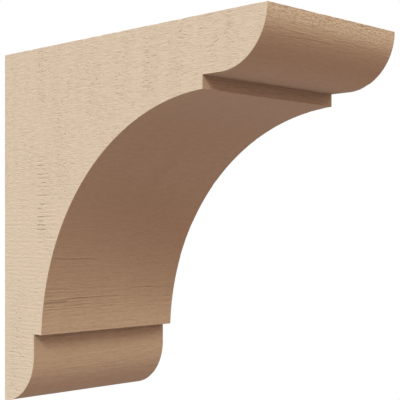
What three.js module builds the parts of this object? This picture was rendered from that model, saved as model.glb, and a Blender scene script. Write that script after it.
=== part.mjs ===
// A rough-sawn timber corbel: one block of wood, band-sawn to a profile and fixed with its flat back
// against a wall, so that its flat top carries a shelf, beam or soffit.
//
// The profile is the same along the arm as down the leg, mirrored about the 45 degree line from the
// top back corner. Each ends in a nose block with a quarter-round nose and a square fillet behind it,
// and one large round cove joins the two fillets.
//
// Frame: millimetres, +Z up, +X across the wall, -Y out from the wall. The origin is the middle of
// the back face.
import * as THREE from "three";

// Driving dimensions
const REACH = 304.8; // out from the wall, and the same up the wall
const WIDTH = 152.4; // across the wall
const NOSE_THICKNESS = 43.2; // a nose block across, and the radius of its quarter-round
const NOSE_LENGTH = 60.8; // a nose block along, from its tip to the fillet
const FILLET = 10.3; // the square fillet between nose block and cove
const COVE_INSET = 51.7; // the cove's centre, back from the arm's tip and up from the leg's foot
const ARC_STEPS = 24; // half the number of straight steps in each round of the profile

const TIMBER_COLOUR = 0xd5c0a7;
const TIMBER_ROUGHNESS = 0.85;

const QUARTER_TURN = Math.PI / 2;

// The side of the corbel, drawn with x out from the wall and y up from the foot.
function profile() {
  const noseUnderside = REACH - NOSE_THICKNESS;
  const armFillet = REACH - NOSE_LENGTH;
  const cove = new THREE.Vector2(REACH - COVE_INSET, COVE_INSET);
  const coveTop = new THREE.Vector2(armFillet, noseUnderside - FILLET).sub(cove);
  // The cove stops a little short of level under the arm, and as much short of plumb at the leg.
  const shortOfSquare = Math.atan2(-coveTop.x, coveTop.y);

  const side = new THREE.Shape();
  side.moveTo(0, REACH);
  side.lineTo(0, 0);
  addNose(side, 0, NOSE_THICKNESS);
  side.lineTo(NOSE_THICKNESS, NOSE_LENGTH);
  side.absarc(
    cove.x,
    cove.y,
    coveTop.length(),
    Math.PI - shortOfSquare,
    QUARTER_TURN + shortOfSquare,
    true,
  );
  side.lineTo(armFillet, noseUnderside);
  addNose(side, noseUnderside, REACH);
  side.closePath();
  return side;
}

// A quarter-round nose about a centre, from straight below it round to level in front of it.
function addNose(side, out, up) {
  side.absarc(out, up, NOSE_THICKNESS, -QUARTER_TURN, 0, false);
}

// The profile sawn through the block, set with its width along X and its back on the wall plane.
function corbel() {
  const block = new THREE.ExtrudeGeometry(profile(), {
    depth: WIDTH,
    curveSegments: ARC_STEPS,
    bevelEnabled: false,
  });
  const timber = new THREE.MeshStandardMaterial({
    color: TIMBER_COLOUR,
    roughness: TIMBER_ROUGHNESS,
    metalness: 0,
  });
  const mesh = new THREE.Mesh(block, timber);
  mesh.name = "corbel";
  mesh.rotation.set(QUARTER_TURN, 0, -QUARTER_TURN, "ZYX");
  mesh.position.set(WIDTH / 2, 0, -REACH / 2);
  return mesh;
}

const part = new THREE.Group();
part.add(corbel());

export default part;
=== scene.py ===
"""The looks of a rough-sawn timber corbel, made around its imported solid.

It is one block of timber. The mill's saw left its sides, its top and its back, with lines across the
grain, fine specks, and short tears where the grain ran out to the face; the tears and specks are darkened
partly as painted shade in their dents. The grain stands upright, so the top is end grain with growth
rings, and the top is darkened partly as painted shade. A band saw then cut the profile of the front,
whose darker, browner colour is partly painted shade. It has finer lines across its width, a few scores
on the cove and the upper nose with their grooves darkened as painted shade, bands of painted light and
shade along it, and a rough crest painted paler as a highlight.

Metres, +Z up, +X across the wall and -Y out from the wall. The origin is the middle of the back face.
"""
import math
from collections import namedtuple

import bpy
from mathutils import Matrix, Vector
from mathutils.geometry import delaunay_2d_cdt


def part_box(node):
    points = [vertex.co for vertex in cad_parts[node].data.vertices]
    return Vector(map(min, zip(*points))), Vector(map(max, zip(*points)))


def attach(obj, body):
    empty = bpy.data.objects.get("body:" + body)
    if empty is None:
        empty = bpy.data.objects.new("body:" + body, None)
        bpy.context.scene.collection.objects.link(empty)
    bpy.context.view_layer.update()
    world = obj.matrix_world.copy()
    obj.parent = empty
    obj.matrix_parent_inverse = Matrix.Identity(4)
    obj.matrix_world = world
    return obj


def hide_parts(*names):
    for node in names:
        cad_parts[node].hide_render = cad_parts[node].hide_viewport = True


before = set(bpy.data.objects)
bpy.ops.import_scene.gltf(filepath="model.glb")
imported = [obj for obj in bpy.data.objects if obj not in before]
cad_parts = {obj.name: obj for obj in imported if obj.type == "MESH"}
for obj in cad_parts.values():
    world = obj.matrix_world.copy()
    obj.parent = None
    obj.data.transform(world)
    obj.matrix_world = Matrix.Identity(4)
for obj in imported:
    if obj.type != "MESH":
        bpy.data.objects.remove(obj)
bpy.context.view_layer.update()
BLOCK_LOW, BLOCK_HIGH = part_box("corbel")

# What the lists below hold, and what the outline of a side is made of
Score = namedtuple("Score", "start end up rise height width")
Column = namedtuple("Column", "out up half_width half_height")
Band = namedtuple("Band", "up reach share")
Stretch = namedtuple("Stretch", "length at step cut")
RimPoint = namedtuple("RimPoint", "place offset run cut cut_back")

# The block and its profile. Places on a side are (out from the wall, up from the foot)
WIDTH = BLOCK_HIGH.x - BLOCK_LOW.x
REACH = BLOCK_HIGH.z - BLOCK_LOW.z
FOOT = BLOCK_LOW.z
NEAR_EDGE = -WIDTH / 2
FAR_EDGE = WIDTH / 2
NOSE_THICKNESS = 0.0432
NOSE_LENGTH = 0.0608
FILLET = 0.0103
COVE_INSET = 0.0517
UNDER_NOSE = REACH - NOSE_THICKNESS
ARM_FILLET = REACH - NOSE_LENGTH
LEG_FILLET = NOSE_THICKNESS + FILLET
COVE_CENTRE = Vector((REACH - COVE_INSET, COVE_INSET))
COVE_HEAD = Vector((ARM_FILLET, UNDER_NOSE - FILLET))
COVE_RADIUS = (COVE_HEAD - COVE_CENTRE).length
QUARTER_TURN = math.pi / 2
FULL_TURN = 2 * math.pi

# Easing of the profile's outer corners and of the arrises along both sides, and what counts as sharp
EASED_CORNER = 0.0003
EASED_ARRIS = 0.00025
SHARP_TURN = math.radians(30)

# Spacing of the mesh, close across the saw lines and wider along them
FRONT_STEP = 0.0009
CREST_STEP = 0.0006
PLAIN_STEP = 0.0022
ACROSS_STEP = 0.0024
NEAR_SIDE_GRID = (0.0023, 0.0006)
FAR_SIDE_GRID = (0.0028, 0.0011)
SCORE_STEP = 0.0003
SCORE_MARGIN = 0.0022

# A side is filled with triangles inside its rim alone, and closer points count as one
TRIANGLES_INSIDE = 1
SAME_POINT = 1e-7

# The cuts of the block: a place in a cut is (along its saw lines, across them, which cut). The mill made
# all but the first, and their numbers lie further apart than the reach of one.
FRONT_CUT = 0.0
NEAR_SIDE_CUT = 10.0
FAR_SIDE_CUT = 20.0
TOP_CUT = 30.0
BACK_CUT = 40.0
MILL_CUTS_ABOVE = 5.0
ONE_CUT = 1.0

# In what follows, a mark's lengths are (along the saw lines, across them), and an edge is the pair of
# values between which it comes in. Noise in rows is moved off the noise's own lattice.
OFF_LATTICE = 0.37

# Saw lines: their pitch, how far one runs before it fades, how they wander, and how early a line starts
MILL_PITCH = 0.0036
BAND_PITCH = 0.0030
MILL_LINE_REACH = 0.03
BAND_LINE_REACH = 0.06
LINE_WANDER = (0.12, 0.05)
LINE_WANDER_PITCHES = 0.9
LINE_FADING_EDGE = (0.30, 0.70)
LINE_STARTS = 0.25

# Saw lines are clearer low on the block: where they clear up from the foot, their depth and their dashes
CLEAR_EDGE = (0.21, 0.15)
LINE_CLEARNESS = (0.4, 1.4)
CLEAR_LINE_DASHES = (1.0, 0.9)

# Ragged dashes, and the patches where they are deeper
MILL_DASH = (0.0060, 0.0014)
BAND_DASH = (0.0400, 0.0022)
CREST_DASH = (0.0042, 0.0015)
DASH_EDGE = (0.41, 0.59)
ROUGH_PATCH = (0.011, 0.050)
ROUGH_PATCH_EDGE = (0.35, 0.65)
DASH_STRENGTH = (0.30, 1.15)

# Tears, whose second length is counted in saw lines. The bar is the noise that tears the grain, in the
# open and in a torn column. They keep to the bottom of a saw line, and some lines have none.
TEAR = (0.0140, 1.3)
TEAR_BAR = (0.76, 0.37)
TEAR_EDGE = (0.0, 0.10)
DEEP_TEAR = (0.012, 1.7)
DEEP_TEAR_EDGE = (0.38, 0.62)
TEAR_STRENGTH = (0.4, 0.9)
LINE_BOTTOM_EDGE = (0.76, 0.97)
TORN_LINE_EDGE = (0.0, 0.50)
TORN_STREAK = (0.018, 0.100)
TORN_STREAK_EDGE = (0.60, 0.72)
TORN_STREAK_SHARE = 0.9

# Specks, with the bar in the open and in a speckled column
SPECK = (0.0040, 0.0011)
SPECK_BAR = (0.675, 0.570)
SPECK_EDGE = (0.0, 0.08)
SPECK_BUNCH = (0.016, 0.022)
SPECK_BUNCH_EDGE = (0.25, 0.55)
SPECK_SHARE = 0.50

# Columns on the near side where the grain is torn, and where it has specks
TORN_COLUMNS = [Column(0.0570, 0.177, 0.009, 0.042)]
SPECKLED_COLUMNS = [
    Column(0.020, 0.055, 0.012, 0.050),
    Column(0.059, 0.170, 0.007, 0.040),
    Column(0.057, 0.280, 0.008, 0.025),
    Column(0.084, 0.215, 0.009, 0.040),
    Column(0.092, 0.280, 0.006, 0.020),
    Column(0.122, 0.262, 0.009, 0.035),
    Column(0.158, 0.278, 0.009, 0.030),
    Column(0.190, 0.276, 0.010, 0.025),
    Column(0.225, 0.280, 0.009, 0.025),
    Column(0.254, 0.282, 0.007, 0.024),
    Column(0.274, 0.286, 0.008, 0.016),
]

# Edges of a column, from its middle in halves of its width or height
COLUMN_WALL_EDGE = (-1.2, -0.9)
COLUMN_OUTER_EDGE = (1.8, -0.6)
COLUMN_END = 1.2
COLUMN_CORE = 0.8

# Scores across the cove and finer ones on the upper nose: from one x to another, up the profile from the
# foot and rising to their end. They drift a little to either side, and break off here and there.
SAW_SCORES = [
    Score(NEAR_EDGE, 0.012, 0.1255, 0.0012, 0.00026, 0.0010),
    Score(NEAR_EDGE, -0.050, 0.1236, 0.0004, 0.00030, 0.0026),
    Score(NEAR_EDGE, -0.024, 0.1629, -0.0010, 0.00024, 0.0013),
    Score(0.004, 0.048, 0.1572, -0.0011, 0.00012, 0.0009),
    Score(0.014, FAR_EDGE, 0.1340, -0.0023, 0.00018, 0.0009),
    Score(NEAR_EDGE, -0.023, 0.1172, 0.0004, 0.00012, 0.0009),
    Score(0.044, FAR_EDGE, 0.1195, -0.0004, 0.00012, 0.0009),
    Score(-0.062, -0.030, 0.4712, -0.0004, 0.00011, 0.0008),
    Score(-0.048, -0.008, 0.4674, 0.0004, 0.00013, 0.0008),
    Score(0.001, 0.030, 0.4706, 0.0008, 0.00010, 0.0008),
]
DEEPEST_SCORE = max(score.height for score in SAW_SCORES)
SCORE_DRIFT = (0.011, 0.020)
SCORE_DRIFT_ENDS = (-0.0012, 0.0012)
SCORE_BREAK = (0.008, 0.020)
SCORE_BREAK_EDGE = (0.2, 0.5)
SCORE_TAPER = 0.8

# Where the front is rougher: down from its top for the crest and the lip, up from its foot for the foot
CREST_EDGE = (0.022, 0.004)
LIP_EDGE = (0.012, 0.001)
ROUGH_FOOT_EDGE = (0.155, 0.115)
FOOT_DASHES = (1.0, 2.6)

# Nicks in the arrises
NICK_LENGTH = 0.010
NICK_EDGE = (0.52, 0.75)

# Growth rings: the heart of the trunk as (x, y), their width, how far they sway, and how soon along and up
TRUNK_HEART = (0.130, -0.130)
GROWTH_RING = 0.0080
RING_SWAY = 0.020
RING_BEND = (0.090, 0.350)
LATE_WOOD_STARTS = (0.25, 0.90)
LATE_WOOD_ENDS = (1.0, 0.93)
RING_YEARS = (0.2, 1.0)

# Sizes of the pressed-in marks, as the relief's inputs
RELIEF_SIZES = {
    "Mill Pitch": MILL_PITCH,
    "Mill Line Depth": 0.00012,
    "Mill Dash Depth": 0.00016,
    "Band Pitch": BAND_PITCH,
    "Band Line Depth": 0.00003,
    "Band Dash Depth": 0.00010,
    "Crest Dash Depth": 0.00030,
    "Tear Depth": 0.00030,
    "Nick Depth": 0.00030,
}

# The two finishes, with linear colours
MILL_FINISH = {
    "pale": (0.782, 0.621, 0.461, 1.0),
    "dark": (0.755, 0.596, 0.440, 1.0),
    "torn": (0.500, 0.360, 0.240, 1.0),
    "streak": (0.012, 0.160),
    "fibre": (0.0048, 0.0010),
    "pitch": MILL_PITCH,
    "line_reach": MILL_LINE_REACH,
}
# The front's darker, browner colours are partly painted shade: part of the warm, dark cast of the shade it
# lies in is put into them
BAND_FINISH = {
    "pale": (0.533, 0.341, 0.207, 1.0),
    "dark": (0.515, 0.327, 0.197, 1.0),
    "torn": (0.386, 0.235, 0.139, 1.0),
    "streak": (0.009, 0.160),
    "fibre": (0.0110, 0.0012),
    "pitch": BAND_PITCH,
    "line_reach": BAND_LINE_REACH,
}
# The crest's paler colour is a painted highlight, standing for light from above that catches the top of
# the upper nose
CREST_PAINTED_HIGHLIGHT = (0.730, 0.524, 0.334, 1.0)
PAINTED_SHADE_TONE = (0.494, 0.305, 0.180, 1.0)
PAINTED_LIGHT_TONE = (0.573, 0.374, 0.227, 1.0)

# Painted shade and painted light along the front: bands up the profile from the foot where its colour is
# painted redder and darker as shade, and where it is painted paler as light
PAINTED_SHADE_BANDS = [
    Band(0.012, 0.030, 0.5),
    Band(0.185, 0.085, 1.0),
    Band(0.409, 0.010, 0.4),
    Band(0.453, 0.022, 1.0),
]
PAINTED_LIGHT_BANDS = [
    Band(0.056, 0.022, 0.9),
    Band(0.103, 0.032, 1.0),
    Band(0.370, 0.075, 0.6),
    Band(0.397, 0.008, 0.5),
]

# Shares of the torn colour in the marks and faces that are darkened, partly the timber's own marks and end
# grain and partly painted shade, as told below
# Tears and specks: darker partly as torn fibre and partly as painted shade in their dents
TEAR_TINT_AND_SHADE = 0.80
# Grooves under the scores' ridges: painted shade
GROOVE_PAINTED_SHADE = 0.35
FLECK_TINT = 0.18
CREST_PIT_TINT = 0.38
LIP_PIT_TINT = 0.20
# Hidden faces' saw lines: darker in their grooves partly as the fuzzy fibres' tone and partly as painted
# shade
HIDDEN_LINE_TINT_AND_SHADE = 0.10
HIDDEN_STREAK_TINT = 0.10
# The whole top: darker partly as end grain and partly as painted shade that holds down its strong light
END_GRAIN_TINT_AND_SHADE = 0.30
RING_TINT = (0.17, 0.31)

# Streaks, flecks and pits, which are calmer low on the near side
STREAK_EDGE = (0.3, 0.7)
HIDDEN_STREAK_EDGE = (0.35, 0.65)
LOW_SIDE_LIVELINESS = (1.0, 0.4)
FLECK = (0.0070, 0.0032)
FLECK_EDGE = (0.40, 0.70)
PIT = (0.0034, 0.0012)
PIT_EDGE = (0.49, 0.64)

# Fine fibres and fuzz, which are rougher on the crest and at the foot, and the timber's sheen
FIBRE_HEIGHT = 0.00034
FUZZ = (0.0018, 0.0007)
FUZZ_HEIGHT = 0.00024
CREST_FUZZ = 1.5
FOOT_FUZZ = 0.6
TEAR_HEIGHT = -0.0003
TIMBER_ROUGHNESS = 0.85
TIMBER_SPECULAR = 0.15

# Camera and light
IMAGE_SIDE = 400
CAMERA_DISTANCE = 0.83929
CAMERA_AZIMUTH = math.radians(-45)
FOCAL_PIXELS = 1008.84
PRINCIPAL_PIXEL = (187.32, 227.45)
SENSOR = 36.0
LIGHT_DISTANCE = 30.0
LIGHT_SIZE = 11.0
KEY_AZIMUTH = math.radians(-55)
KEY_ELEVATION = math.radians(37)
KEY_POWER = 4990.0
KEY_COLOUR = (0.747, 0.949, 1.0)
BACK_FILL_AZIMUTH = math.radians(110)
BACK_FILL_ELEVATION = math.radians(30)
BACK_FILL_POWER = 2600.0
FLOOR_GLOW_SIZE = 2.0
FLOOR_GLOW_POWER = 3.95
FLOOR_GLOW_COLOUR = (0.453, 0.780, 1.0)
SURROUND = (0.415, 0.320, 0.310, 1.0)
SKY = 0.758
SKY_COLOUR = (0.941, 1.0, 0.943, 1.0)
WHITE = (1.0, 1.0, 1.0, 1.0)
BLACK = (0.0, 0.0, 0.0, 1.0)
FLOOR_DROP = 0.9
FLOOR_SIDE = 40.0

# Kinds of node sockets, and a mix node's first input, second input and output for each kind of mix
VALUE = "NodeSocketFloat"
VECTOR = "NodeSocketVector"
GEOMETRY = "NodeSocketGeometry"
MATERIAL = "NodeSocketMaterial"
MIX_SOCKETS = {"FLOAT": (2, 3, 0), "RGBA": (6, 7, 2)}


# The block


def straight(start, end):
    """A straight stretch: its length, and its place and heading after a run along it."""
    start, end = Vector(start), Vector(end)
    heading = (end - start).normalized()
    return (end - start).length, lambda run: (start + heading * run, heading)


def rounded(centre, radius, first, last):
    """A round stretch about a centre from one angle to another, given as straight() gives one."""
    centre = Vector(centre)
    turn = math.copysign(1.0, last - first)

    def at(run):
        angle = first + turn * run / radius
        spoke = Vector((math.cos(angle), math.sin(angle)))
        return centre + spoke * radius, Vector((-spoke.y, spoke.x)) * turn

    return radius * abs(last - first), at


def profile_stretches():
    """The outline of a side in stretches, each with its step and its cut.

    It goes up the front from the foot, back over the top and down the wall."""
    spoke = COVE_HEAD - COVE_CENTRE
    short_of_square = math.atan2(-spoke.x, spoke.y)
    front = [
        rounded((0, NOSE_THICKNESS), NOSE_THICKNESS, -QUARTER_TURN, 0),
        straight((NOSE_THICKNESS, NOSE_THICKNESS), (NOSE_THICKNESS, NOSE_LENGTH)),
        straight((NOSE_THICKNESS, NOSE_LENGTH), (LEG_FILLET, NOSE_LENGTH)),
        rounded(COVE_CENTRE, COVE_RADIUS, math.pi - short_of_square, QUARTER_TURN + short_of_square),
        straight(COVE_HEAD, (ARM_FILLET, UNDER_NOSE)),
        straight((ARM_FILLET, UNDER_NOSE), (UNDER_NOSE, UNDER_NOSE)),
    ]
    upper_nose = rounded((UNDER_NOSE, REACH), NOSE_THICKNESS, -QUARTER_TURN, 0)
    stretches = [Stretch(*stretch, FRONT_STEP, FRONT_CUT) for stretch in front]
    stretches.append(Stretch(*upper_nose, CREST_STEP, FRONT_CUT))
    stretches.append(Stretch(*straight((REACH, REACH), (0, REACH)), PLAIN_STEP, TOP_CUT))
    stretches.append(Stretch(*straight((0, REACH), (0, 0)), PLAIN_STEP, BACK_CUT))
    return stretches


def outward(heading):
    """The outward normal of a stretch with that heading. The block is on its left."""
    return Vector((heading.y, -heading.x))


def end_heading(stretch):
    """The heading at the end of a stretch."""
    return stretch.at(stretch.length)[1]


def corner_turn(before, after):
    """The angle by which the outline turns between two stretches: above 0 on an outer corner."""
    heading_in = end_heading(before)
    heading_out = after.at(0.0)[1]
    return math.atan2(heading_in.cross(heading_out), heading_in.dot(heading_out))


def spaced(start, end, step, scores):
    """Runs along a stretch, a step apart and closer beside a score."""
    count = max(1, round((end - start) / step))
    runs = [start + (end - start) * number / count for number in range(count + 1)]
    close = round(SCORE_MARGIN / SCORE_STEP)
    for score in scores:
        if start + SCORE_MARGIN < score < end - SCORE_MARGIN:
            runs = [run for run in runs if abs(run - score) > SCORE_MARGIN + SCORE_STEP]
            runs += [score + SCORE_STEP * number for number in range(-close, close + 1)]
    return sorted(runs)


def outline():
    """The outline's points. Moving each along its offset moves the whole outline out by a metre.

    Outer corners are cut back to an eased arris, and inner ones are left square."""
    stretches = profile_stretches()
    points = []
    passed = 0.0
    for index, stretch in enumerate(stretches):
        before = stretches[index - 1]
        after = stretches[(index + 1) % len(stretches)]
        eased_in = corner_turn(before, stretch) > SHARP_TURN
        eased_out = corner_turn(stretch, after) > SHARP_TURN
        inner_corner = corner_turn(before, stretch) < -SHARP_TURN
        start = EASED_CORNER if eased_in else 0.0
        end = stretch.length - EASED_CORNER if eased_out else stretch.length
        scores = []
        if stretch.cut == FRONT_CUT:
            scores = [score.up + score.rise / 2 - passed for score in SAW_SCORES]
        runs = spaced(start, end, stretch.step, scores)
        if not eased_out:
            runs.pop()
        for number, run in enumerate(runs):
            place, heading = stretch.at(run)
            offset = outward(heading)
            if number == 0 and inner_corner:
                other = outward(end_heading(before))
                offset = (offset + other) / (1 + offset.dot(other))
            cut_back = (number == 0 and eased_in) or (number == len(runs) - 1 and eased_out)
            points.append(RimPoint(place, offset, passed + run, stretch.cut, cut_back))
        passed += stretch.length
    return points


def front_reach(up):
    """How far out from the wall the block reaches at a height above its foot."""
    if up < NOSE_THICKNESS:
        return math.sqrt(NOSE_THICKNESS**2 - (NOSE_THICKNESS - up) ** 2)
    if up < NOSE_LENGTH:
        return NOSE_THICKNESS
    if up < UNDER_NOSE - FILLET:
        return COVE_CENTRE.x - math.sqrt(COVE_RADIUS**2 - (up - COVE_CENTRE.y) ** 2)
    if up < UNDER_NOSE:
        return ARM_FILLET
    return UNDER_NOSE + math.sqrt(max(0.0, NOSE_THICKNESS**2 - (REACH - up) ** 2))


def side_points(grid):
    """Points inside a side, in level rows. The outline is the same mirrored about its diagonal."""
    step, row_height = grid
    points = []
    clear_up = row_height + EASED_ARRIS
    clear_out = step / 2 + EASED_ARRIS
    rows = math.floor((REACH - clear_up) / row_height)
    for row in range(1, rows + 1):
        up = row * row_height
        out = clear_out + (row % 2) * step / 2
        limit = front_reach(up) - clear_out
        while out < limit:
            if up > REACH - front_reach(REACH - out) + clear_up:
                points.append(Vector((out, up)))
            out += step
    return points


def side_triangles(rim, inner, grid):
    """Triangles between a side's rim and its inner points, as numbers into rim + inner.

    Heights are stretched while it is worked out, so that the triangles lie long along the rows."""
    stretch = grid[0] / grid[1]
    flat = [Vector((point.x, point.y * stretch)) for point in rim + inner]
    loop = list(range(len(rim)))
    _, _, triangles, sources, _, _ = delaunay_2d_cdt(flat, [], [loop], TRIANGLES_INSIDE, SAME_POINT)
    number = [source[0] for source in sources]
    return [[number[corner] for corner in triangle] for triangle in triangles]


def stations():
    """Places across the width as (x, how far the outline is drawn in there)."""
    inner = FAR_EDGE - EASED_ARRIS
    count = round(2 * inner / ACROSS_STEP)
    middle = [(-inner + 2 * inner * number / count, 0.0) for number in range(count + 1)]
    return [(NEAR_EDGE, EASED_ARRIS), *middle, (FAR_EDGE, EASED_ARRIS)]


class BlockSkin:
    """Gathers the block's vertices and faces, and the place in its cut of each face corner."""

    def __init__(self, rim):
        self.rim = rim
        self.vertices = []
        self.on_arris = []
        self.faces = []
        self.places = []

    def wrap(self, rings):
        """The profile, the top and the back, from station to station across the width."""
        size = len(self.rim)
        last = len(rings) - 1
        for ring, (x, drawn_in) in enumerate(rings):
            at_side = ring in (0, 1, last - 1, last)
            for point in self.rim:
                out, up = point.place - point.offset * drawn_in
                self.vertices.append((x, -out, FOOT + up))
                self.on_arris.append(at_side or point.cut_back)
        for ring in range(last):
            low, high = ring * size, (ring + 1) * size
            x_low, x_high = rings[ring][0], rings[ring + 1][0]
            for here, point in enumerate(self.rim):
                beyond = (here + 1) % size
                run, cut = point.run, point.cut
                run_beyond = self.rim[beyond].run if beyond else run + PLAIN_STEP
                self.faces.append((low + here, high + here, high + beyond, low + beyond))
                self.places += [(x_low, run, cut), (x_high, run, cut)]
                self.places += [(x_high, run_beyond, cut), (x_low, run_beyond, cut)]

    def close_side(self, x, first, cut, grid):
        """A side, joined to the ring of vertices that starts at the first number."""
        drawn_rim = [point.place - point.offset * EASED_ARRIS for point in self.rim]
        inner = side_points(grid)
        triangles = side_triangles(drawn_rim, inner, grid)
        flat = drawn_rim + inner
        numbers = list(range(first, first + len(drawn_rim)))
        numbers += range(len(self.vertices), len(self.vertices) + len(inner))
        self.vertices += [(x, -out, FOOT + up) for out, up in inner]
        self.on_arris += [False] * len(inner)
        for corners in triangles:
            turned = corners if cut == NEAR_SIDE_CUT else corners[::-1]
            self.faces.append([numbers[corner] for corner in turned])
            self.places += [(*flat[corner], cut) for corner in turned]


def block_mesh():
    """The whole block as one closed mesh, with the places in its cuts and its arrises as attributes."""
    rim = outline()
    rings = stations()
    skin = BlockSkin(rim)
    skin.wrap(rings)
    last_ring = (len(rings) - 1) * len(rim)
    skin.close_side(NEAR_EDGE, 0, NEAR_SIDE_CUT, NEAR_SIDE_GRID)
    skin.close_side(FAR_EDGE, last_ring, FAR_SIDE_CUT, FAR_SIDE_GRID)
    mesh = bpy.data.meshes.new("corbel_block")
    mesh.from_pydata(skin.vertices, [], skin.faces)
    mesh.shade_smooth()
    mesh.set_sharp_from_angle(angle=SHARP_TURN)
    attribute = mesh.attributes.new("cut_place", "FLOAT_VECTOR", "CORNER")
    attribute.data.foreach_set("vector", [part for place in skin.places for part in place])
    attribute = mesh.attributes.new("on_arris", "BOOLEAN", "POINT")
    attribute.data.foreach_set("value", skin.on_arris)
    return mesh


# Nodes


class Desk:
    """Puts nodes into one tree and joins them. It serves shader and geometry trees alike."""

    def __init__(self, tree):
        self.tree = tree

    def add(self, kind, feeds=(), **settings):
        """A new node with its settings, its inputs fed by name or number."""
        node = self.tree.nodes.new(kind)
        for name, value in settings.items():
            setattr(node, name, value)
        for name, value in dict(feeds).items():
            self.feed(node.inputs[name], value)
        return node

    def feed(self, socket, value):
        """Joins a socket to another one, or sets its value."""
        if isinstance(value, bpy.types.NodeSocket):
            self.tree.links.new(value, socket)
        else:
            socket.default_value = value

    def place_group(self, group, feeds):
        """A node group placed in this tree, with its inputs fed, and its outputs."""
        kind = "GeometryNodeGroup" if self.tree.type == "GEOMETRY" else "ShaderNodeGroup"
        return self.add(kind, feeds, node_tree=group).outputs

    def math(self, operation, first, second=0.0, third=0.0):
        """One step of arithmetic."""
        feeds = {0: first, 1: second, 2: third}
        return self.add("ShaderNodeMath", feeds, operation=operation).outputs[0]

    def total(self, *values):
        """The sum of some values."""
        result = values[0]
        for value in values[1:]:
            result = self.math("ADD", result, value)
        return result

    def product(self, *values):
        """The product of some values."""
        result = values[0]
        for value in values[1:]:
            result = self.math("MULTIPLY", result, value)
        return result

    def parts(self, vector):
        """The three parts of a vector."""
        return self.add("ShaderNodeSeparateXYZ", {0: vector}).outputs[:]

    def joined(self, *parts):
        """A vector of three parts."""
        return self.add("ShaderNodeCombineXYZ", dict(enumerate(parts))).outputs[0]

    def noise(self, place, lengths, detail=1.0, seed=0.0, in_rows=False):
        """Noise from 0 to 1 whose patches have those lengths along and across the cut.

        In rows, it hardly changes across each row and changes quickly from one row to the next."""
        along, run, cut = self.parts(place)
        across = self.math("DIVIDE", run, lengths[1])
        if in_rows:
            ripple = self.math("SINE", self.product(across, FULL_TURN))
            across = self.total(across, self.product(ripple, -1 / FULL_TURN), OFF_LATTICE)
        spot = self.joined(self.math("DIVIDE", along, lengths[0]), across, self.math("ADD", cut, seed))
        return self.add("ShaderNodeTexNoise", {"Vector": spot, "Scale": 1.0, "Detail": detail}).outputs[0]

    def chance(self, number):
        """A fixed random value from 0 to 1 for each number."""
        return self.add("ShaderNodeTexWhiteNoise", {"W": number}, noise_dimensions="1D").outputs[0]

    def step(self, value, low, high):
        """A smooth step from 0 at the low value to 1 at the high one."""
        feeds = {0: value, 1: low, 2: high, 3: 0.0, 4: 1.0}
        node = self.add("ShaderNodeMapRange", feeds, interpolation_type="SMOOTHSTEP")
        return node.outputs[0]

    def near(self, value, middle, reach, core=0.0):
        """1 within a core about the middle value, falling smoothly to 0 at a reach to either side."""
        away = self.math("ABSOLUTE", self.math("SUBTRACT", value, middle))
        return self.step(away, reach, core)

    def on_cut(self, cut, which):
        """1 on one of the block's cuts and 0 on the others."""
        return self.near(cut, which, ONE_CUT)

    def between(self, ends, share):
        """The first of two values where the share is 0, the second where it is 1."""
        return self.math("MULTIPLY_ADD", share, ends[1] - ends[0], ends[0])

    def mix(self, share, first, second, kind="RGBA"):
        """A mix of two colours, or of two values."""
        first_input, second_input, output = MIX_SOCKETS[kind]
        feeds = {0: share, first_input: first, second_input: second}
        return self.add("ShaderNodeMix", feeds, data_type=kind).outputs[output]


def new_group(name, tree_kind, inputs, outputs):
    """An empty node group with named sockets, and a desk to fill it with."""
    tree = bpy.data.node_groups.new(name, tree_kind)
    for socket, kind in inputs.items():
        tree.interface.new_socket(socket, in_out="INPUT", socket_type=kind)
    for socket, kind in outputs.items():
        tree.interface.new_socket(socket, in_out="OUTPUT", socket_type=kind)
    desk = Desk(tree)
    start = desk.add("NodeGroupInput")
    end = desk.add("NodeGroupOutput")
    return desk, start.outputs, end.inputs


def saw_lines_group(tree_kind):
    """Lines that a saw leaves along its cut, a pitch apart.

    Wave is 0 between two lines and 1 at the bottom of one, and Depth is the same where they show. Line
    counts them. Clear is 1 where they are clearest: low down, and all over the top and the back."""
    desk, given, made = new_group(
        "saw_lines",
        tree_kind,
        {"Place": VECTOR, "Pitch": VALUE, "Reach": VALUE},
        {"Wave": VALUE, "Depth": VALUE, "Line": VALUE, "Clear": VALUE},
    )
    place, pitch, reach = given["Place"], given["Pitch"], given["Reach"]
    _, run, cut = desk.parts(place)
    wander = desk.noise(place, LINE_WANDER, detail=2.0)
    phase = desk.math("MULTIPLY_ADD", wander, LINE_WANDER_PITCHES, desk.math("DIVIDE", run, pitch))
    wave = desk.math("MULTIPLY_ADD", desk.math("SINE", desk.product(phase, FULL_TURN)), 0.5, 0.5)
    fading = desk.step(desk.noise(place, (reach, pitch), seed=3.0), *LINE_FADING_EDGE)
    low_down = desk.step(run, *CLEAR_EDGE)
    clear = desk.math("MAXIMUM", low_down, desk.step(cut, FAR_SIDE_CUT, TOP_CUT))
    desk.feed(made["Wave"], wave)
    desk.feed(made["Depth"], desk.product(wave, fading, desk.between(LINE_CLEARNESS, clear)))
    desk.feed(made["Line"], desk.math("FLOOR", desk.math("ADD", phase, LINE_STARTS)))
    desk.feed(made["Clear"], clear)
    return desk.tree


def ragged_dashes_group(tree_kind):
    """Shallow ragged dashes along the saw lines, deeper in some patches of the grain. Depth is 0 to 1."""
    desk, given, made = new_group(
        "ragged_dashes",
        tree_kind,
        {"Place": VECTOR, "Length": VALUE, "Width": VALUE},
        {"Depth": VALUE},
    )
    place = given["Place"]
    dash = desk.noise(place, (given["Length"], given["Width"]), detail=2.0, seed=11.0, in_rows=True)
    patch = desk.step(desk.noise(place, ROUGH_PATCH, seed=12.0), *ROUGH_PATCH_EDGE)
    strength = desk.between(DASH_STRENGTH, patch)
    desk.feed(made["Depth"], desk.product(desk.step(dash, *DASH_EDGE), strength))
    return desk.tree


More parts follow.
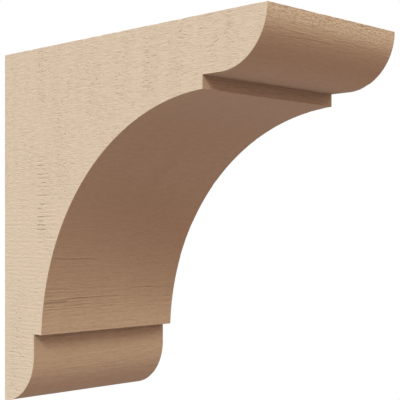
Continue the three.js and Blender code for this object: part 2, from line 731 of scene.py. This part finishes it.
def rough_parts_group(tree_kind):
    """Where the front is rougher.

    Crest is 1 along the top of the upper nose, Lip only close to its edge, and Foot is 1 low down."""
    desk, given, made = new_group(
        "rough_parts",
        tree_kind,
        {"Place": VECTOR},
        {"Crest": VALUE, "Lip": VALUE, "Foot": VALUE},
    )
    _, run, cut = desk.parts(given["Place"])
    on_front = desk.on_cut(cut, FRONT_CUT)
    top = sum(stretch.length for stretch in profile_stretches() if stretch.cut == FRONT_CUT)
    crest = desk.step(run, top - CREST_EDGE[0], top - CREST_EDGE[1])
    lip = desk.step(run, top - LIP_EDGE[0], top - LIP_EDGE[1])
    foot = desk.step(run, *ROUGH_FOOT_EDGE)
    for name, part in (("Crest", crest), ("Lip", lip), ("Foot", foot)):
        desk.feed(made[name], desk.product(part, on_front))
    return desk.tree


def painted_bands_group(tree_kind):
    """Bands of painted shade and painted light along the front. The first output is 1 where the front is
    painted redder and darker as shade, the second where it is painted paler as light.
    """
    desk, given, made = new_group(
        "painted_bands", tree_kind, {"Place": VECTOR}, {"Painted Shade": VALUE, "Painted Light": VALUE}
    )
    _, run, cut = desk.parts(given["Place"])
    on_front = desk.on_cut(cut, FRONT_CUT)
    for tone, bands in (("Painted Shade", PAINTED_SHADE_BANDS), ("Painted Light", PAINTED_LIGHT_BANDS)):
        masks = [desk.product(desk.near(run, band.up, band.reach), band.share) for band in bands]
        desk.feed(made[tone], desk.product(desk.total(*masks), on_front))
    return desk.tree


def within_columns(desk, out, up, columns):
    """1 inside some columns of a side, sharp at their edge towards the wall and fading outwards."""
    inside = 0.0
    for column in columns:
        wall_edge = [column.out + column.half_width * edge for edge in COLUMN_WALL_EDGE]
        outer_edge = [column.out + column.half_width * edge for edge in COLUMN_OUTER_EDGE]
        end, core = column.half_height * COLUMN_END, column.half_height * COLUMN_CORE
        within = desk.product(
            desk.step(out, *wall_edge),
            desk.step(out, *outer_edge),
            desk.near(up, column.up, end, core),
        )
        inside = desk.math("MAXIMUM", inside, within)
    return inside


def torn_grain_group(tree_kind):
    """Short tears along the saw lines, and fine specks. Mask is 0 to 1.

    Both are few in the open, and many in their columns on the near side. The mill's other faces are torn
    where a streak of the grain runs out, and the front has no specks."""
    desk, given, made = new_group(
        "torn_grain", tree_kind, {"Place": VECTOR, "Wave": VALUE, "Line": VALUE}, {"Mask": VALUE}
    )
    place = given["Place"]
    out, up, cut = desk.parts(place)
    on_near_side = desk.on_cut(cut, NEAR_SIDE_CUT)
    on_hidden_faces = desk.step(cut, NEAR_SIDE_CUT, FAR_SIDE_CUT)
    off_front = desk.step(cut, FRONT_CUT, NEAR_SIDE_CUT)

    torn_column = desk.product(within_columns(desk, out, up, TORN_COLUMNS), on_near_side)
    streak = desk.step(desk.noise(place, TORN_STREAK, seed=9.0), *TORN_STREAK_EDGE)
    crowded = desk.math("MAXIMUM", torn_column, desk.product(streak, on_hidden_faces, TORN_STREAK_SHARE))
    line_place = desk.joined(out, given["Line"], cut)
    tear = desk.noise(line_place, TEAR, seed=8.0)
    torn = desk.step(desk.math("SUBTRACT", tear, desk.between(TEAR_BAR, crowded)), *TEAR_EDGE)
    thin = desk.step(given["Wave"], *LINE_BOTTOM_EDGE)
    deep = desk.step(desk.noise(line_place, DEEP_TEAR, seed=10.0), *DEEP_TEAR_EDGE)
    struck = desk.step(desk.chance(given["Line"]), *TORN_LINE_EDGE)
    tears = desk.product(torn, thin, desk.between(TEAR_STRENGTH, deep), struck)

    speckled_column = desk.product(within_columns(desk, out, up, SPECKLED_COLUMNS), on_near_side)
    bunch = desk.step(desk.noise(place, SPECK_BUNCH, seed=16.0), *SPECK_BUNCH_EDGE)
    bar = desk.between(SPECK_BAR, desk.product(speckled_column, bunch))
    speck = desk.noise(place, SPECK, seed=15.0)
    specks = desk.step(desk.math("SUBTRACT", speck, bar), *SPECK_EDGE)
    desk.feed(made["Mask"], desk.math("MAXIMUM", tears, desk.product(specks, SPECK_SHARE, off_front)))
    return desk.tree


def growth_rings_group(tree_kind):
    """Rings about the trunk's heart, which lay beyond the block. Late is 1 where a ring ends dark."""
    desk, given, made = new_group("growth_rings", tree_kind, {"Spot": VECTOR}, {"Late": VALUE})
    x, y, z = desk.parts(given["Spot"])
    away = [desk.math("SUBTRACT", part, heart) for part, heart in zip((x, y), TRUNK_HEART)]
    radius = desk.math("SQRT", desk.total(*[desk.product(part, part) for part in away]))
    bend_across, bend_up = RING_BEND
    slow = desk.joined(x, y, desk.math("DIVIDE", z, bend_up))
    bend = desk.noise(slow, (bend_across, bend_across), detail=0.5)
    count = desk.math("DIVIDE", desk.math("MULTIPLY_ADD", bend, RING_SWAY, radius), GROWTH_RING)
    age = desk.math("FRACT", count)
    late = desk.product(desk.step(age, *LATE_WOOD_STARTS), desk.step(age, *LATE_WOOD_ENDS))
    year = desk.between(RING_YEARS, desk.chance(desk.math("FLOOR", count)))
    desk.feed(made["Late"], desk.product(late, year))
    return desk.tree


def saw_scores_group(tree_kind):
    """The scores across the front. Ridge is their height, and Groove is 0 to 1 just under each ridge."""
    desk, given, made = new_group(
        "saw_scores", tree_kind, {"Place": VECTOR}, {"Ridge": VALUE, "Groove": VALUE}
    )
    place = given["Place"]
    x, run, cut = desk.parts(place)
    on_front = desk.on_cut(cut, FRONT_CUT)
    drift = desk.between(SCORE_DRIFT_ENDS, desk.noise(place, SCORE_DRIFT, detail=2.0, seed=6.0))
    unbroken = desk.step(desk.noise(place, SCORE_BREAK, detail=2.0, seed=7.0), *SCORE_BREAK_EDGE)
    ridge, groove = 0.0, 0.0
    for score in SAW_SCORES:
        half = (score.end - score.start) / 2
        along = desk.math("DIVIDE", desk.math("SUBTRACT", x, score.start), 2 * half)
        middle = desk.total(desk.math("MULTIPLY_ADD", along, score.rise, score.up), drift)
        from_middle = desk.math("ABSOLUTE", desk.math("SUBTRACT", x, score.start + half))
        present = desk.product(desk.step(from_middle, half, half * SCORE_TAPER), on_front, unbroken)
        above = desk.near(run, desk.math("ADD", middle, score.width / 2), score.width)
        below = desk.near(run, desk.math("SUBTRACT", middle, score.width / 2), score.width)
        raised, sunk = desk.product(above, present), desk.product(below, present)
        ridge = desk.math("MULTIPLY_ADD", raised, score.height, ridge)
        ridge = desk.math("MULTIPLY_ADD", sunk, -score.height, ridge)
        groove = desk.math("MULTIPLY_ADD", sunk, score.height / DEEPEST_SCORE, groove)
    desk.feed(made["Ridge"], ridge)
    desk.feed(made["Groove"], groove)
    return desk.tree


def sawn_relief_tree(groups):
    """Geometry nodes that press the saw marks, tears and nicked arrises into the block."""
    sizes = dict.fromkeys(RELIEF_SIZES, VALUE)
    desk, given, made = new_group(
        "sawn_relief",
        "GeometryNodeTree",
        {"Geometry": GEOMETRY, **sizes, "Mill Sawn": MATERIAL, "Band Sawn": MATERIAL},
        {"Geometry": GEOMETRY},
    )
    named = desk.add("GeometryNodeInputNamedAttribute", {"Name": "cut_place"}, data_type="FLOAT_VECTOR")
    place = named.outputs["Attribute"]
    arris = desk.add("GeometryNodeInputNamedAttribute", {"Name": "on_arris"}, data_type="BOOLEAN")
    which_cut = desk.parts(place)[2]
    mill_sawn = desk.math("GREATER_THAN", which_cut, MILL_CUTS_ABOVE)
    band_sawn = desk.math("LESS_THAN", which_cut, MILL_CUTS_ABOVE)

    def marks(group, feeds=()):
        return desk.place_group(groups[group], {"Place": place, **dict(feeds)})

    def dashes(lengths):
        return marks("ragged_dashes", {"Length": lengths[0], "Width": lengths[1]})["Depth"]

    mill_lines = marks("saw_lines", {"Pitch": given["Mill Pitch"], "Reach": MILL_LINE_REACH})
    band_lines = marks("saw_lines", {"Pitch": given["Band Pitch"], "Reach": BAND_LINE_REACH})
    tears = marks("torn_grain", {"Wave": mill_lines["Wave"], "Line": mill_lines["Line"]})["Mask"]
    ridge = marks("saw_scores")["Ridge"]
    rough = marks("rough_parts")
    mill_dash_share = desk.between(CLEAR_LINE_DASHES, mill_lines["Clear"])
    band_dash_share = desk.between(FOOT_DASHES, rough["Foot"])
    mill_depth = desk.total(
        desk.product(mill_lines["Depth"], given["Mill Line Depth"]),
        desk.product(dashes(MILL_DASH), given["Mill Dash Depth"], mill_dash_share),
        desk.product(tears, given["Tear Depth"]),
    )
    band_depth = desk.total(
        desk.product(band_lines["Depth"], given["Band Line Depth"]),
        desk.product(dashes(BAND_DASH), given["Band Dash Depth"], band_dash_share),
        desk.product(dashes(CREST_DASH), given["Crest Dash Depth"], rough["Crest"]),
        desk.product(ridge, -1.0),
    )
    spot = desk.add("GeometryNodeInputPosition").outputs[0]
    bruise = desk.noise(spot, (NICK_LENGTH, NICK_LENGTH), detail=2.0)
    nick_depth = desk.product(desk.step(bruise, *NICK_EDGE), given["Nick Depth"])
    face_depth = desk.mix(mill_sawn, band_depth, mill_depth, kind="FLOAT")
    depth = desk.mix(arris.outputs["Attribute"], face_depth, nick_depth, kind="FLOAT")

    normal = desk.add("GeometryNodeInputNormal").outputs[0]
    inwards = desk.product(depth, -1.0)
    push = desk.add("ShaderNodeVectorMath", {0: normal, "Scale": inwards}, operation="SCALE").outputs[0]
    moved = desk.add("GeometryNodeSetPosition", {"Geometry": given["Geometry"], "Offset": push})
    real = desk.add("GeometryNodeRealizeInstances", {"Geometry": moved.outputs[0]})
    all_mill = desk.add(
        "GeometryNodeSetMaterial", {"Geometry": real.outputs[0], "Material": given["Mill Sawn"]}
    )
    finished = desk.add(
        "GeometryNodeSetMaterial",
        {"Geometry": all_mill.outputs[0], "Selection": band_sawn, "Material": given["Band Sawn"]},
    )
    desk.feed(made["Geometry"], finished.outputs[0])
    return desk.tree


# Finishes


def timber(name, groups, pale, dark, torn, streak, fibre, pitch, line_reach):
    """Sawn timber: faint streaks along the grain, tears and specks darkened partly as painted shade, and
    fine fuzz along the saw lines.

    The front has bands of painted shade and painted light, grooves under its scores darkened as painted
    shade, and a pitted crest painted paler as a highlight. The hidden faces have growth rings and saw
    lines darkened partly as painted shade, and the top is darkened partly as painted shade."""
    material = bpy.data.materials.new(name)
    material.use_nodes = True
    material.node_tree.nodes.clear()
    desk = Desk(material.node_tree)
    place = desk.add("ShaderNodeAttribute", attribute_name="cut_place").outputs["Vector"]
    spot = desk.add("ShaderNodeTexCoord").outputs["Object"]

    def marks(group, feeds=()):
        return desk.place_group(groups[group], {"Place": place, **dict(feeds)})

    lines = marks("saw_lines", {"Pitch": pitch, "Reach": line_reach})
    tears = marks("torn_grain", {"Wave": lines["Wave"], "Line": lines["Line"]})["Mask"]
    groove = marks("saw_scores")["Groove"]
    rough = marks("rough_parts")
    painted_tones = marks("painted_bands")
    late_wood = desk.place_group(groups["growth_rings"], {"Spot": spot})["Late"]
    cut = desk.parts(place)[2]
    hidden = desk.step(cut, NEAR_SIDE_CUT, FAR_SIDE_CUT)
    on_top = desk.on_cut(cut, TOP_CUT)
    low_near_side = desk.product(lines["Clear"], desk.on_cut(cut, NEAR_SIDE_CUT))
    lively = desk.between(LOW_SIDE_LIVELINESS, low_near_side)

    tone = desk.noise(place, streak, detail=3.0, seed=1.0)
    colour = desk.mix(desk.product(desk.step(tone, *STREAK_EDGE), lively), pale, dark)
    # Painted shade and painted light: bands along the front painted redder and darker, and others painted
    # paler
    colour = desk.mix(painted_tones["Painted Shade"], colour, PAINTED_SHADE_TONE)
    colour = desk.mix(painted_tones["Painted Light"], colour, PAINTED_LIGHT_TONE)
    # Painted shade, in part: tears and specks are darkened partly as shade in their dents, and the grooves
    # under the scores' ridges wholly as shade
    torn_and_shaded = desk.math("MAXIMUM", desk.product(tears, TEAR_TINT_AND_SHADE), desk.product(groove, GROOVE_PAINTED_SHADE))
    colour = desk.mix(torn_and_shaded, colour, torn)
    # Painted highlight: the crest is painted paler where light from above would catch it
    colour = desk.mix(rough["Crest"], colour, CREST_PAINTED_HIGHLIGHT)
    fleck = desk.step(desk.noise(place, FLECK, detail=3.0, seed=13.0, in_rows=True), *FLECK_EDGE)
    pit = desk.step(desk.noise(place, PIT, seed=14.0), *PIT_EDGE)
    pit_tint = desk.total(
        desk.product(rough["Crest"], CREST_PIT_TINT), desk.product(rough["Lip"], LIP_PIT_TINT)
    )
    marred = desk.math("MAXIMUM", desk.product(fleck, lively, FLECK_TINT), desk.product(pit, pit_tint))
    # On the hidden faces the saw lines are darkened in their grooves, partly as the fibres' tone and
    # partly as painted shade; the rings and streaks are grain
    hidden_grain_and_shade = desk.total(
        desk.product(lines["Depth"], HIDDEN_LINE_TINT_AND_SHADE),
        desk.product(late_wood, desk.between(RING_TINT, on_top)),
        desk.product(desk.step(tone, *HIDDEN_STREAK_EDGE), HIDDEN_STREAK_TINT),
    )
    # The whole top is darkened, partly as end grain and partly as painted shade that holds down its strong
    # light
    darker = desk.total(marred, desk.product(hidden_grain_and_shade, hidden), desk.product(on_top, END_GRAIN_TINT_AND_SHADE))
    colour = desk.mix(darker, colour, torn)

    fine = desk.noise(place, fibre, detail=2.0, seed=2.0, in_rows=True)
    fuzz = desk.noise(place, FUZZ, detail=2.0, seed=4.0)
    fuzziness = desk.total(
        1.0, desk.product(rough["Crest"], CREST_FUZZ), desk.product(rough["Foot"], FOOT_FUZZ)
    )
    height = desk.total(
        desk.product(fine, FIBRE_HEIGHT),
        desk.product(fuzz, FUZZ_HEIGHT, fuzziness),
        desk.product(tears, TEAR_HEIGHT),
    )
    bump = desk.add("ShaderNodeBump", {"Strength": 1.0, "Distance": 1.0, "Height": height})
    shader = desk.add(
        "ShaderNodeBsdfPrincipled",
        {
            "Base Color": colour,
            "Roughness": TIMBER_ROUGHNESS,
            "Specular IOR Level": TIMBER_SPECULAR,
            "Normal": bump.outputs[0],
        },
    )
    desk.add("ShaderNodeOutputMaterial", {"Surface": shader.outputs[0]})
    return material


def set_inputs(modifier, values):
    """Sets a geometry tree's inputs by the identifiers of their sockets."""
    for item in modifier.node_group.interface.items_tree:
        if item.item_type == "SOCKET" and item.in_out == "INPUT" and item.name in values:
            modifier[item.identifier] = values[item.name]


def rough_sawn_corbel():
    """The block with its saw marks pressed in and its two finishes."""
    shared = {
        "saw_lines": saw_lines_group,
        "torn_grain": torn_grain_group,
        "saw_scores": saw_scores_group,
        "rough_parts": rough_parts_group,
    }
    shape_makers = {**shared, "ragged_dashes": ragged_dashes_group}
    finish_makers = {**shared, "painted_bands": painted_bands_group, "growth_rings": growth_rings_group}
    shape = {name: make("GeometryNodeTree") for name, make in shape_makers.items()}
    finish = {name: make("ShaderNodeTree") for name, make in finish_makers.items()}
    mill = timber("mill_sawn_timber", finish, **MILL_FINISH)
    band = timber("band_sawn_timber", finish, **BAND_FINISH)
    maker = bpy.data.objects.new("corbel_block", block_mesh())
    bpy.context.collection.objects.link(maker)
    modifier = maker.modifiers.new("sawn_relief", "NODES")
    modifier.node_group = sawn_relief_tree(shape)
    set_inputs(modifier, {**RELIEF_SIZES, "Mill Sawn": mill, "Band Sawn": band})
    depsgraph = bpy.context.evaluated_depsgraph_get()
    mesh = bpy.data.meshes.new_from_object(maker.evaluated_get(depsgraph))
    bpy.data.objects.remove(maker)
    piece = bpy.data.objects.new("rough_sawn_corbel", mesh)
    bpy.context.collection.objects.link(piece)
    return piece


# Camera, light and floor


def direction(azimuth, elevation):
    """Towards a place round the object: azimuth 0 is out from the wall, and it grows towards +X."""
    level = math.cos(elevation)
    return Vector((math.sin(azimuth) * level, -math.cos(azimuth) * level, math.sin(elevation)))


def aim(item, place, target):
    """Puts a camera or a light at a place, looking at a target."""
    item.location = place
    item.rotation_mode = "QUATERNION"
    item.rotation_quaternion = (target - place).to_track_quat("-Z", "Y")


def add_camera(centre):
    """The camera at the photograph's view, with its shift for where the picture was cropped."""
    data = bpy.data.cameras.new("camera")
    data.sensor_width = SENSOR
    data.lens = FOCAL_PIXELS / IMAGE_SIDE * SENSOR
    data.shift_x = 0.5 - PRINCIPAL_PIXEL[0] / IMAGE_SIDE
    data.shift_y = PRINCIPAL_PIXEL[1] / IMAGE_SIDE - 0.5
    camera = bpy.data.objects.new("camera", data)
    bpy.context.collection.objects.link(camera)
    aim(camera, centre + direction(CAMERA_AZIMUTH, 0.0) * CAMERA_DISTANCE, centre)
    bpy.context.scene.camera = camera


def add_soft_light(name, place, target, size, power, colour):
    """A round soft light, aimed at the object and not seen itself."""
    data = bpy.data.lights.new(name, "AREA")
    data.shape = "DISK"
    data.size = size
    data.energy = power
    data.color = colour
    light = bpy.data.objects.new(name, data)
    bpy.context.collection.objects.link(light)
    aim(light, place, target)
    light.visible_camera = False


def add_lights(centre):
    """A key from the left of the front, a fill for the back and the glow of the floor."""
    key_place = centre + direction(KEY_AZIMUTH, KEY_ELEVATION) * LIGHT_DISTANCE
    fill_place = centre + direction(BACK_FILL_AZIMUTH, BACK_FILL_ELEVATION) * LIGHT_DISTANCE
    floor_place = Vector((centre.x, centre.y, FOOT - FLOOR_DROP))
    add_soft_light("key", key_place, centre, LIGHT_SIZE, KEY_POWER, KEY_COLOUR)
    add_soft_light("back_fill", fill_place, centre, LIGHT_SIZE, BACK_FILL_POWER, KEY_COLOUR)
    add_soft_light("floor_glow", floor_place, centre, FLOOR_GLOW_SIZE, FLOOR_GLOW_POWER, FLOOR_GLOW_COLOUR)


def add_world():
    """White behind the object, a soft warm light from all round and a sky, brightest halfway up."""
    world = bpy.data.worlds.new("studio")
    bpy.context.scene.world = world
    world.use_nodes = True
    world.node_tree.nodes.clear()
    desk = Desk(world.node_tree)
    seen = desk.add("ShaderNodeLightPath").outputs["Is Camera Ray"]
    around = desk.add("ShaderNodeBackground", {"Color": SURROUND, "Strength": 1.0})
    ray = desk.add("ShaderNodeTexCoord").outputs["Generated"]
    climb = desk.math("MAXIMUM", desk.parts(ray)[2], 0.0)
    level = desk.math("SQRT", desk.math("SUBTRACT", 1.0, desk.product(climb, climb)))
    glow = desk.product(climb, level, 2 * SKY)
    sky = desk.add("ShaderNodeBackground", {"Color": SKY_COLOUR, "Strength": glow})
    lit = desk.add("ShaderNodeAddShader", {0: around.outputs[0], 1: sky.outputs[0]})
    behind = desk.add("ShaderNodeBackground", {"Color": WHITE, "Strength": 1.0})
    both = desk.add("ShaderNodeMixShader", {0: seen, 1: lit.outputs[0], 2: behind.outputs[0]})
    desk.add("ShaderNodeOutputWorld", {"Surface": both.outputs[0]})


def add_floor(centre):
    """A plain white floor well below the object. It takes no light away from it."""
    half = FLOOR_SIDE / 2
    level = FOOT - FLOOR_DROP
    corners = [(-half, -half), (half, -half), (half, half), (-half, half)]
    mesh = bpy.data.meshes.new("floor")
    mesh.from_pydata([(centre.x + x, centre.y + y, level) for x, y in corners], [], [(0, 1, 2, 3)])
    material = bpy.data.materials.new("white_floor")
    material.use_nodes = True
    shader = material.node_tree.nodes["Principled BSDF"]
    shader.inputs["Base Color"].default_value = BLACK
    shader.inputs["Roughness"].default_value = 1.0
    shader.inputs["Specular IOR Level"].default_value = 0.0
    shader.inputs["Emission Color"].default_value = WHITE
    shader.inputs["Emission Strength"].default_value = 1.0
    mesh.materials.append(material)
    floor = bpy.data.objects.new("floor", mesh)
    bpy.context.collection.objects.link(floor)
    floor.visible_diffuse = False
    floor.visible_glossy = False
    floor.visible_shadow = False


centre = (BLOCK_LOW + BLOCK_HIGH) / 2
add_camera(centre)
add_lights(centre)
add_world()
add_floor(centre)
bpy.context.scene.view_settings.view_transform = "Standard"
bpy.context.scene.cycles.diffuse_bounces = 0

corbel = rough_sawn_corbel()
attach(corbel, "root")
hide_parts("corbel")
